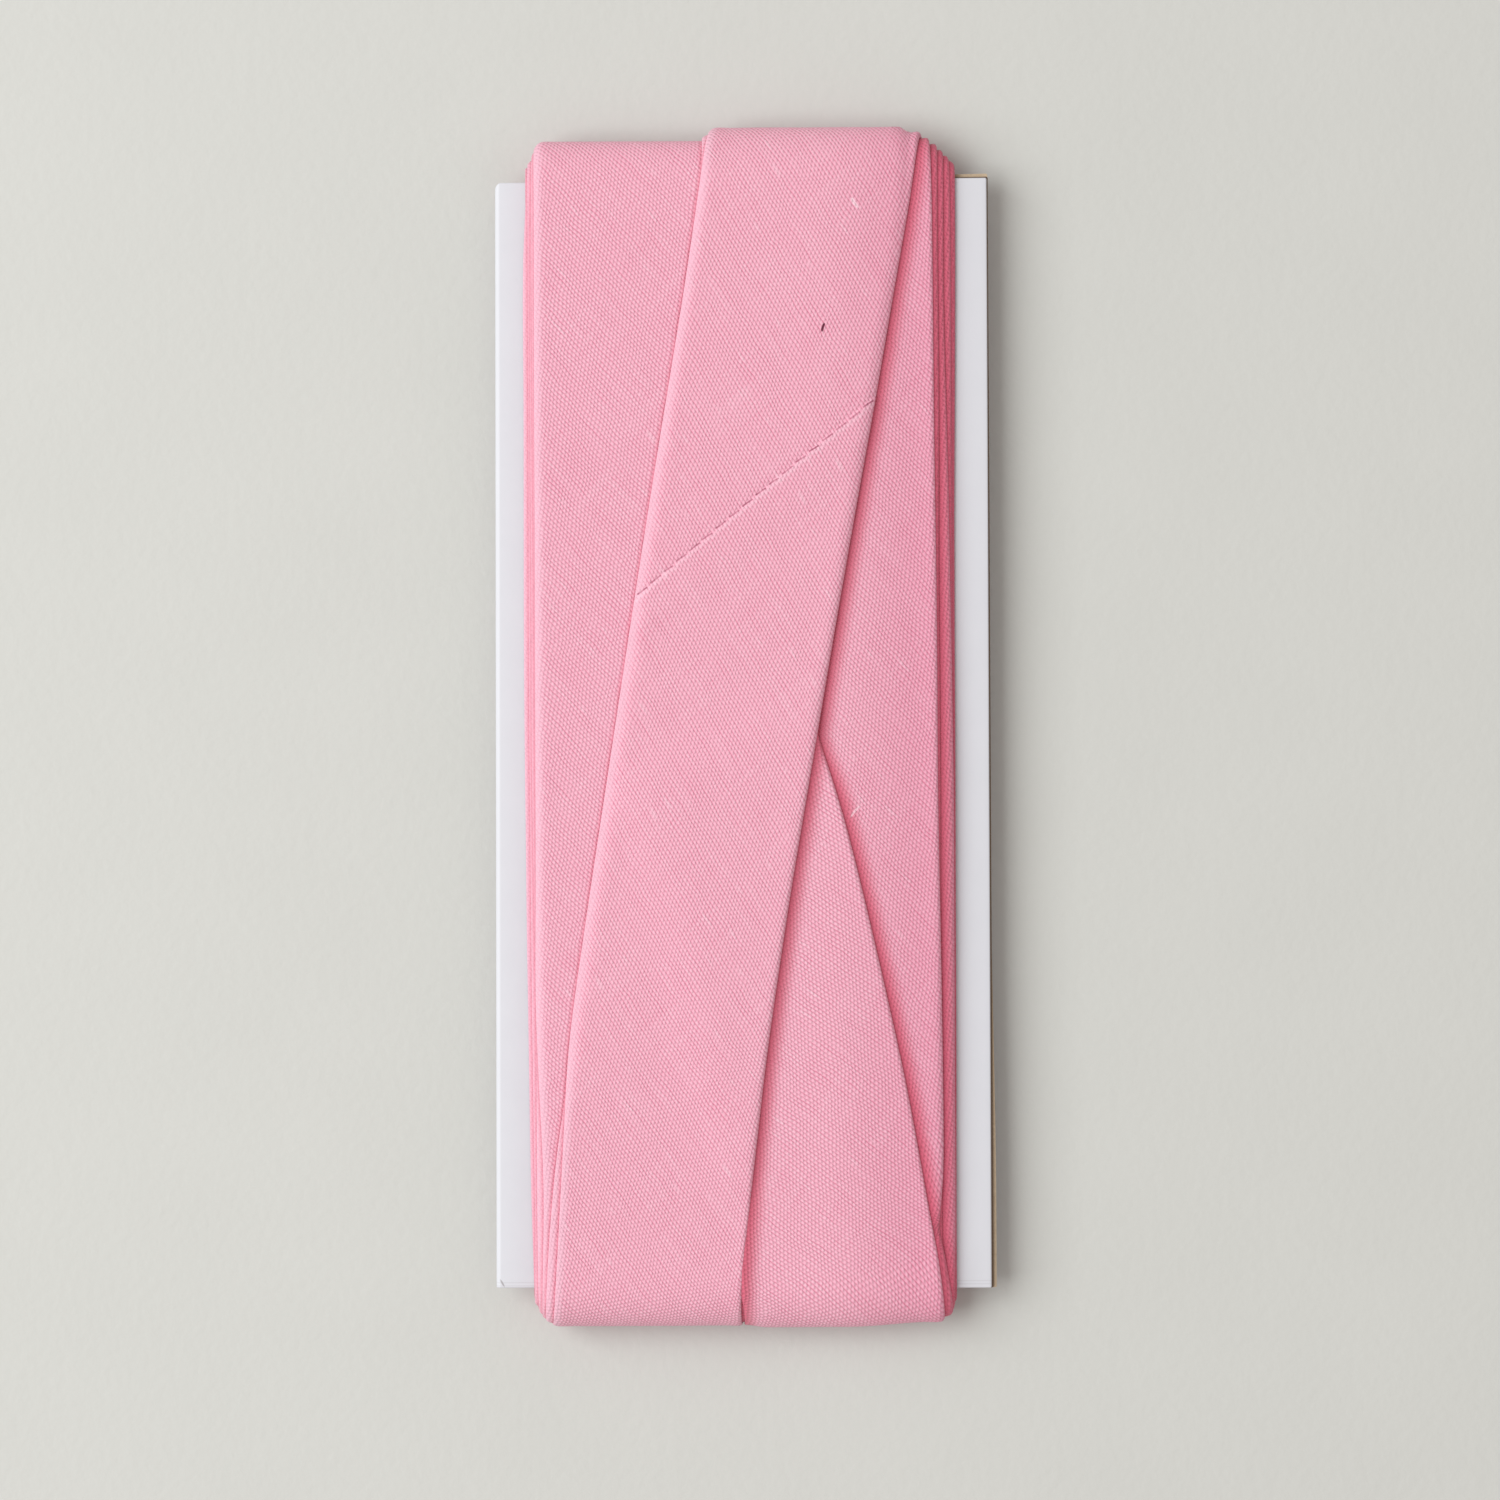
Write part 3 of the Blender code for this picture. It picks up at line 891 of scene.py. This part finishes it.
def seam_shade_marks(nodes, across, along, seam_length):
    """Masks of the join's dark dashes of painted shade in its groove, and of the painted highlight
    on the ridge below them.
    """
    past = nodes.math("SUBTRACT", along, seam_length)
    distance, travel = nodes.turned(across, past, -SEAM_TURN)
    wave = centred(nodes, nodes.noise(nodes.vector(travel, 0.0), STITCH_GRAIN), STITCH_WAVE)
    share = nodes.math("FRACT", nodes.math("MULTIPLY_ADD", travel, 1 / STITCH_PITCH, wave))
    from_middle = nodes.math("SUBTRACT", share, 0.5)
    slant = nodes.math("MULTIPLY", from_middle, STITCH_SLANT)
    aside = nodes.math("ADD", nodes.math("ADD", distance, wave), slant)
    line = nodes.falling(nodes.math("ABSOLUTE", aside), *STITCH_WIDTH_RANGE)
    dash = nodes.falling(nodes.math("ABSOLUTE", from_middle), *STITCH_GAP_RANGE)
    from_ridge = nodes.math("ABSOLUTE", nodes.math("ADD", aside, RIDGE_ASIDE))
    ridge = nodes.falling(from_ridge, 0.0, RIDGE_HALF_WIDTH)
    pull_noise = nodes.noise(nodes.vector(travel, PULL_LINE), PULL_GRAIN)
    pull = nodes.ramp(pull_noise, *PULL_RANGE, LEAST_PULL, 1.0)
    return nodes.math("MULTIPLY", nodes.math("MULTIPLY", line, dash), pull), ridge


def fleck_mask(nodes, across, along, fleck, fleck_length):
    """A short soft line on the tape."""
    aside = nodes.math("SUBTRACT", across, fleck.across)
    past = nodes.math("SUBTRACT", along, fleck_length)
    on_line, off_line = nodes.turned(aside, past, fleck.turn)
    squared = nodes.math("MULTIPLY", on_line, on_line)
    bent = nodes.math("MULTIPLY_ADD", squared, FLECK_BEND, off_line)
    return nodes.soft_spot(on_line, bent, fleck.half_length, fleck.half_width, 4.0, FLECK_RANGE)


def weave(nodes, across, along):
    """The weave's height, its tone, and its thick slub threads."""
    drift = centred(nodes, nodes.noise(nodes.vector(across, along), DRIFT_GRAIN), DRIFT)
    bent_across = nodes.math("ADD", across, drift)
    thick, thick_place = thread_wave(nodes, bent_across, along, THICK_THREADS)
    thin, thin_place = thread_wave(nodes, bent_across, along, THIN_THREADS)
    rib = nodes.math("POWER", nodes.math("ABSOLUTE", thick), RIB_POWER)
    crossing = nodes.math("MULTIPLY", thick, thin)
    thread = nodes.math("ABSOLUTE", thin)

    thick_drawn, thin_drawn = (nodes.math("MULTIPLY", place, UNEVEN_DRAWN)
                               for place in (thick_place, thin_place))
    per_thick = nodes.noise(nodes.vector(thick_place, thin_drawn), UNEVEN_GRAIN)
    per_thin = nodes.noise(nodes.vector(thick_drawn, thin_place), UNEVEN_GRAIN)
    mean = nodes.math("MULTIPLY", nodes.math("ADD", per_thick, per_thin), 0.5)
    uneven = centred(nodes, mean, UNEVEN)
    fibres = centred(nodes, nodes.noise(nodes.vector(across, along), FIBRE_GRAIN), FIBRE)
    slub_line = nodes.vector(thick_place, nodes.math("MULTIPLY", thin_place, SLUB_DRAWN))
    slub = nodes.ramp(nodes.noise(slub_line, SLUB_GRAIN), *SLUB_RANGE)

    ribs = nodes.math("MULTIPLY", rib, RIB_SHARE)
    height = nodes.math("MULTIPLY_ADD", crossing, CROSSING_SHARE, ribs)
    height = nodes.math("MULTIPLY_ADD", thread, THREAD_SHARE, height)
    height = nodes.math("ADD", height, nodes.math("MULTIPLY", uneven, UNEVEN_HEIGHT))
    height = nodes.math("MULTIPLY_ADD", slub, SLUB_HEIGHT, height)
    tone = nodes.math("ADD", nodes.math("ADD", rib, uneven), fibres)
    return height, tone, slub


def woven_colour(nodes, tone, slub):
    """The cloth's colour, from its pores to the tops of its threads: painted shade in the pores
    and painted highlight on the thread tops, mixed with the yarn's random tone.
    """
    # Darker in the pores with painted shade, paler on the thread tops with painted highlight
    colour = nodes.mix(nodes.ramp(tone, *PORE_TONE), CLOTH_PORE_SHADE, CLOTH_COLOUR)
    colour = nodes.mix(nodes.ramp(tone, *PALE_TONE), colour, CLOTH_PALE)
    return nodes.tint(colour, CLOTH_PALE, slub, SLUB_PALENESS)


def colour_with_painted_light(nodes, colour, across):
    """The colour with a painted highlight at the left fold, painted shade close to turns above,
    and painted shade towards the card's right side.
    """
    rising, falling = nodes.ramp(across, *FOLD_RISE), nodes.falling(across, *FOLD_FALL)
    # Painted highlight along the left fold of each turn
    fold = nodes.math("MULTIPLY", rising, falling)
    colour = nodes.tint(colour, CLOTH_FOLD_HIGHLIGHT, fold, FOLD_HIGHLIGHT_STRENGTH)
    # Painted shade next to the turns above
    shade_between_turns = nodes.falling(nodes.attribute("shade_distance"), *TURN_SHADE_RANGE)
    colour = nodes.mix(shade_between_turns, colour, CLOTH_SHADE_BETWEEN_TURNS)
    # Painted shade towards the card's right side
    x, _ = nodes.card_coordinates()
    return nodes.multiply(nodes.ramp(x, *RIGHT_SHADE_RANGE), colour, CLOTH_RIGHT_SHADE)


def cloth_material(length_at):
    nodes = Nodes("pink_cotton")
    across, along = nodes.map_coordinates("Tape")
    height, tone, slub = weave(nodes, across, along)
    colour = colour_with_painted_light(nodes, woven_colour(nodes, tone, slub), across)
    dash, ridge = seam_shade_marks(nodes, across, along, length_at(SEAM_PLACE))
    # Painted highlight on the seam's raised ridge
    colour = nodes.tint(colour, CLOTH_PALE, ridge, RIDGE_HIGHLIGHT_STRENGTH)
    # Painted shade in the seam's groove
    colour = nodes.tint(colour, CLOTH_SEAM_SHADE, dash, SEAM_SHADE_STRENGTH)
    for fleck in FLECKS:
        fleck_place = SEAM_PLACE + fleck.up - SEAM_ALONG + fleck.lap * LOOP
        mask = fleck_mask(nodes, across, along, fleck, length_at(fleck_place))
        colour = nodes.tint(colour, fleck.colour, mask, fleck.strength)
    normal = nodes.bump(height, 1.0, THREAD_HEIGHT)
    return nodes.finish(colour, normal, CLOTH_ROUGHNESS, CLOTH_SHEEN)


# The floor: its two tones, their grain, and its fine relief in metres
FLOOR_DARK = (0.600, 0.610, 0.590, 1.0)
FLOOR_PALE = (0.635, 0.645, 0.625, 1.0)
FLOOR_TONE, FLOOR_RELIEF = Grain(60.0, 6.0, 0.6), Grain(900.0, 4.0)
FLOOR_BUMP, FLOOR_BUMP_HEIGHT = 0.25, 0.0002
FLOOR_ROUGHNESS = 0.8


def floor_material():
    nodes = Nodes("pale_surface")
    place = nodes.object_coordinates()
    colour = nodes.mix(nodes.noise(place, FLOOR_TONE), FLOOR_DARK, FLOOR_PALE)
    normal = nodes.bump(nodes.noise(place, FLOOR_RELIEF), FLOOR_BUMP, FLOOR_BUMP_HEIGHT)
    return nodes.finish(colour, normal, FLOOR_ROUGHNESS)


# The board's coated face: its two tones, and the colour and strength of the painted shade in its
# marks
BOARD_DARK = (0.655, 0.668, 0.725, 1.0)
BOARD_PALE = (0.685, 0.698, 0.755, 1.0)
MARK_SHADE_COLOUR = (0.330, 0.310, 0.330, 1.0)
MARK_SHADE_STRENGTH, MARK_DEPTH = 0.8, 1.5
BOARD_MOTTLE, BOARD_RELIEF = Grain(350.0, 3.0), Grain(1500.0, 3.0)
BOARD_BUMP = 0.2
BOARD_BUMP_HEIGHT = 0.00005
BOARD_ROUGHNESS = 0.5

# Press marks along the board's lower edge, and a crease in its lower left
# corner: its middle, half length, half width and turn in degrees. Both are dents,
# darkened with painted shade
PRESS_MARKS_UP = (0.30, 0.62)
PRESS_MARK_REACH, PRESS_MARK_SHADE = 0.10, 0.25
CORNER_CREASE = (-24.25, -55.10, 0.45, 0.10, -30)
CREASE_RANGE = (0.2, 1.5)


def press_marks(nodes, y):
    """Mask of the faint dented lines along the board's lower edge, darkened with painted shade."""
    marks = 0.0
    for up in PRESS_MARKS_UP:
        aside = nodes.math("SUBTRACT", y, between(FACE_BOTTOM, 0.5) + up)
        line = nodes.ramp(nodes.math("ABSOLUTE", aside), 0.0, PRESS_MARK_REACH,
                          PRESS_MARK_SHADE, 0.0)
        marks = nodes.math("ADD", line, marks)
    return marks


def corner_crease(nodes, x, y):
    middle_x, middle_y, half_length, half_width, turn = CORNER_CREASE
    right = nodes.math("SUBTRACT", x, middle_x)
    up = nodes.math("SUBTRACT", y, middle_y)
    on_line, off_line = nodes.turned(right, up, turn)
    return nodes.soft_spot(on_line, off_line, half_length, half_width, 2.0, CREASE_RANGE)


def board_face_material():
    nodes = Nodes("coated_board")
    place = nodes.object_coordinates()
    x, y = nodes.card_coordinates()
    marks = nodes.math("MAXIMUM", corner_crease(nodes, x, y), press_marks(nodes, y))
    colour = nodes.mix(nodes.noise(place, BOARD_MOTTLE), BOARD_DARK, BOARD_PALE)
    # Painted shade in the crease and the press marks
    colour = nodes.tint(colour, MARK_SHADE_COLOUR, marks, MARK_SHADE_STRENGTH)
    depth = nodes.math("MULTIPLY", marks, MARK_DEPTH)
    height = nodes.math("SUBTRACT", nodes.noise(place, BOARD_RELIEF), depth)
    normal = nodes.bump(height, BOARD_BUMP, BOARD_BUMP_HEIGHT)
    return nodes.finish(colour, normal, BOARD_ROUGHNESS)


# Board without its coating: its fibres, two tones, bump and roughness
RawBoard = namedtuple("RawBoard", "name grain dark pale bump roughness")
BOARD_CORE = RawBoard("board_core", Grain(4000.0, 4.0), (0.440, 0.330, 0.220, 1.0),
                      (0.640, 0.520, 0.380, 1.0), 0.5, 0.9)
# The cut rims are darkened far past the board's own brown: painted shade of the gap between the
# leaves
BOARD_CUT_SHADED = RawBoard("board_cut_shaded", Grain(5000.0, 4.0), (0.080, 0.050, 0.035, 1.0),
                     (0.220, 0.150, 0.105, 1.0), 0.6, 0.95)


def raw_board_material(board):
    nodes = Nodes(board.name)
    fibre = nodes.noise(nodes.object_coordinates(), board.grain)
    colour = nodes.mix(fibre, board.dark, board.pale)
    normal = nodes.bump(fibre, board.bump, BOARD_BUMP_HEIGHT)
    return nodes.finish(colour, normal, board.roughness)


# The card: a board folded at its left side into two leaves. The lower leaf
# shows past the upper one as a lip, and the upper leaf's cuts slant outwards.
LEAF = 0.42
LEAF_GAP = 0.16
LEAF_RISE = (LEAF + LEAF_GAP) / 2
FOLD_STEPS = 10
CARD_LEFT = card_low[0]
FOLD_X = CARD_LEFT + LEAF / 2 + LEAF_RISE
LEFT_LEAN = (-0.16, 0.20)
FRONT_RIGHT = card_high[0] - 0.44
FACE_BOTTOM = (CARD_BOTTOM - 0.30, CARD_BOTTOM - 0.50)
FACE_TOP = (CARD_TOP - 0.20, CARD_TOP + 0.08)
LIP_TOP, LIP_BOTTOM = 0.10, 0.52
LIP_WIDE, LIP_NARROW = 0.06, 0.40
LIP_UP = 0.45
LIP_UP_LEFT = -0.25
CUT_SLANT_TOP, CUT_SLANT_BOTTOM = 0.13, 0.20
CARD_CORNER = 0.16
FOLD_CORNER = 0.50
EDGE_ROUNDING = 0.12
SHARP_ANGLE = math.radians(40)
FACE, CORE, CUT = range(3)

# The upper leaf is a little warped, and its cuts slant over these last stretches
WARP, WARP_WAVES, WARP_START = 0.05, 3.1, 1.0
SLANT_START = 0.985
SLANT_REACH = 1.2

# Rows of points up the card and columns across a leaf, closest at its cuts
END_ROWS = (0.0, 0.02, 0.05, 0.09, 0.14, 0.22, 0.34, 0.6, 1.2, 2.4)
MIDDLE_ROWS_START, MIDDLE_ROW_COUNT = 4.5, 44
CUT_COLUMNS = (1.0, 0.9994, 0.9985, 0.997, 0.99, 0.98)
INNER_COLUMNS_START, INNER_COLUMN_COUNT = 0.95, 24


def rounded_off(distance, radius):
    """How far an edge is drawn in at a distance from a rounded corner's side."""
    past = radius - min(max(distance, 0.0), radius)
    return radius - math.sqrt(radius ** 2 - past ** 2)


def between(ends, share):
    return ends[0] + (ends[1] - ends[0]) * share


def board_height(share, up_share):
    """Height up the card of a board point; the board's ends are cut a little askew."""
    return between((between(FACE_BOTTOM, share), between(FACE_TOP, share)), up_share)


def leaf_rows():
    """Distances from the card's lower end to its rows of points."""
    middle = np.linspace(MIDDLE_ROWS_START, FLAT_LENGTH - MIDDLE_ROWS_START, MIDDLE_ROW_COUNT)
    return [*END_ROWS, *middle, *(FLAT_LENGTH - value for value in reversed(END_ROWS))]


def leaf_shares():
    """Shares across a leaf, from its cut edge up to the fold."""
    inner = np.linspace(INNER_COLUMNS_START, 0.0, INNER_COLUMN_COUNT)
    return [*CUT_COLUMNS, *inner[:-1]]


def leaf_right(side, up_share):
    """Right edge of a leaf; the lower leaf shows past the upper one."""
    if side == FRONT:
        return FRONT_RIGHT
    return FRONT_RIGHT + between((LIP_BOTTOM, LIP_TOP), smoothstep(up_share, LIP_WIDE, LIP_NARROW))


def leaf_middle(side, share, up_share):
    """Height of a leaf's middle plane."""
    flat = MIDDLE_HEIGHT + side * LEAF_RISE
    if side == BACK:
        return flat
    return flat + WARP * math.sin(WARP_WAVES * up_share * math.pi + WARP_START) * share


def cut_slant(side, share, up):
    """How far the upper leaf's inner skin reaches past its outer one."""
    if side == BACK:
        return 0.0, 0.0
    right = between((CUT_SLANT_BOTTOM, CUT_SLANT_TOP), up / FLAT_LENGTH)
    at_top = smoothstep(up, FLAT_LENGTH - SLANT_REACH, FLAT_LENGTH)
    return right * smoothstep(share, SLANT_START, 1.0), CUT_SLANT_TOP * share * at_top


def leaf_pair(side, share, up):
    """Points of the outer and inner skin of one leaf."""
    up_share = up / FLAT_LENGTH
    from_end = min(up, FLAT_LENGTH - up)
    right = leaf_right(side, up_share) - rounded_off(from_end, CARD_CORNER)
    x = between((FOLD_X + between(LEFT_LEAN, up_share), right), share)
    y = board_height(share, up_share)
    if side == BACK:
        y += between((LIP_UP_LEFT, LIP_UP), share) * up_share
    middle = leaf_middle(side, share, up_share)
    rounding = rounded_off(min(right - x, from_end), EDGE_ROUNDING)
    slant_x, slant_y = cut_slant(side, share, up)
    outer = (x, y, middle + side * (LEAF / 2 - rounding))
    inner = (x + slant_x, y + slant_y, middle - side * LEAF / 2)
    return outer, inner


def fold_pairs(up):
    """Points of both skins round the fold, from the upper leaf to the lower one."""
    up_share = up / FLAT_LENGTH
    left = FOLD_X + between(LEFT_LEAN, up_share)
    rounding = rounded_off(min(up, FLAT_LENGTH - up), EDGE_ROUNDING)
    outer_radius = LEAF_RISE + LEAF / 2 - rounding
    pairs = []
    for step in range(FOLD_STEPS + 1):
        angle = math.pi / 2 + math.pi * step / FOLD_STEPS
        from_left = outer_radius * (1 + math.cos(angle))
        y = board_height(0.0, up_share) - rounded_off(from_left, FOLD_CORNER) * up_share
        y += LIP_UP_LEFT * up_share * step / FOLD_STEPS
        pairs.append([
            (left + radius * math.cos(angle), y, MIDDLE_HEIGHT + radius * math.sin(angle))
            for radius in (outer_radius, LEAF_GAP / 2)
        ])
    return pairs


def turn_outwards(mesh):
    skin = bmesh.new()
    skin.from_mesh(mesh)
    bmesh.ops.recalc_face_normals(skin, faces=skin.faces)
    skin.to_mesh(mesh)
    skin.free()


def grid_faces(grid):
    corners = [grid[:-1, :-1], grid[1:, :-1], grid[1:, 1:], grid[:-1, 1:]]
    return np.stack(corners, axis=-1).reshape(-1, 4).tolist()


def make_card(materials):
    """The folded board as one closed skin."""
    shares = leaf_shares()
    rows = []
    for up in leaf_rows():
        front = [leaf_pair(FRONT, share, up) for share in shares]
        back = [leaf_pair(BACK, share, up) for share in reversed(shares)]
        rows.append(front + fold_pairs(up) + back)
    points = np.array(rows) * MM
    index = np.arange(points.size // 3).reshape(points.shape[:3])
    grids = [(index[..., 0], FACE), (index[..., 1], CORE)]
    grids += [(rim, CUT) for rim in (index[:, 0], index[:, -1], index[0], index[-1])]
    faces, kinds = [], []
    for grid, kind in grids:
        new_faces = grid_faces(grid)
        faces += new_faces
        kinds += [kind] * len(new_faces)
    card = new_piece("folded_card", points.reshape(-1, 3).tolist(), faces, materials)
    card.data.polygons.foreach_set("material_index", kinds)
    turn_outwards(card.data)
    card.data.set_sharp_from_angle(angle=SHARP_ANGLE)
    return card


# The view: straight down from above, very slightly turned
VIEW_CENTRE = (0.54, -2.33)
VIEW_WIDTH = 148.5
VIEW_TURN = math.radians(-0.27)
LENS = 145.0
SENSOR = 36.0
VIEW_HEIGHT = 5.0
FLOOR_SIZE = 1.2


def make_camera():
    data = bpy.data.cameras.new("camera")
    data.lens = LENS
    data.sensor_width = SENSOR
    camera = new_object("camera", data)
    distance = VIEW_WIDTH * LENS / SENSOR
    camera.location = (VIEW_CENTRE[0] * MM, VIEW_CENTRE[1] * MM, (distance + VIEW_HEIGHT) * MM)
    camera.rotation_euler = (0, 0, VIEW_TURN)
    bpy.context.scene.camera = camera


def make_floor():
    half = FLOOR_SIZE / 2
    corners = [(-half, -half, 0), (half, -half, 0), (half, half, 0), (-half, half, 0)]
    floor = new_piece("floor", corners, [(0, 1, 2, 3)], [floor_material()])


# The large soft light: its direction and distance from the object in metres
LIGHT_AZIMUTH = math.radians(173)
LIGHT_ELEVATION = math.radians(47)
LIGHT_DISTANCE = 1.12
LIGHT_SIZE = 1.0
LIGHT_POWER = 12.0
LIGHT_COLOUR = (0.98, 1.0, 0.99)

# The even light of the room
ROOM_LIGHT = 0.53
ROOM_COLOUR = (1.0, 0.93, 0.88, 1.0)


def make_light():
    """A soft square light, turned to the object."""
    data = bpy.data.lights.new("window", "AREA")
    data.shape = "SQUARE"
    data.size = LIGHT_SIZE
    data.energy = LIGHT_POWER
    data.color = LIGHT_COLOUR
    light = new_object("window", data)
    level = LIGHT_DISTANCE * math.cos(LIGHT_ELEVATION)
    light.location = (level * math.cos(LIGHT_AZIMUTH), level * math.sin(LIGHT_AZIMUTH),
                      LIGHT_DISTANCE * math.sin(LIGHT_ELEVATION))
    light.rotation_euler = (-light.location).to_track_quat("-Z", "Y").to_euler()


def light_room():
    world = bpy.data.worlds.new("studio")
    world.use_nodes = True
    background = world.node_tree.nodes["Background"]
    background.inputs["Color"].default_value = ROOM_COLOUR
    background.inputs["Strength"].default_value = ROOM_LIGHT
    bpy.context.scene.world = world
    bpy.context.scene.view_settings.view_transform = "Standard"


def main():
    make_camera()
    make_light()
    light_room()
    make_floor()
    tape, length_at = make_tape()
    tape.data.materials.append(cloth_material(length_at))
    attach(tape, "root")
    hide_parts("binding_winding")
    card = make_card([board_face_material(), raw_board_material(BOARD_CORE),
                      raw_board_material(BOARD_CUT_SHADED)])
    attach(card, "root")
    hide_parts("card")


main()
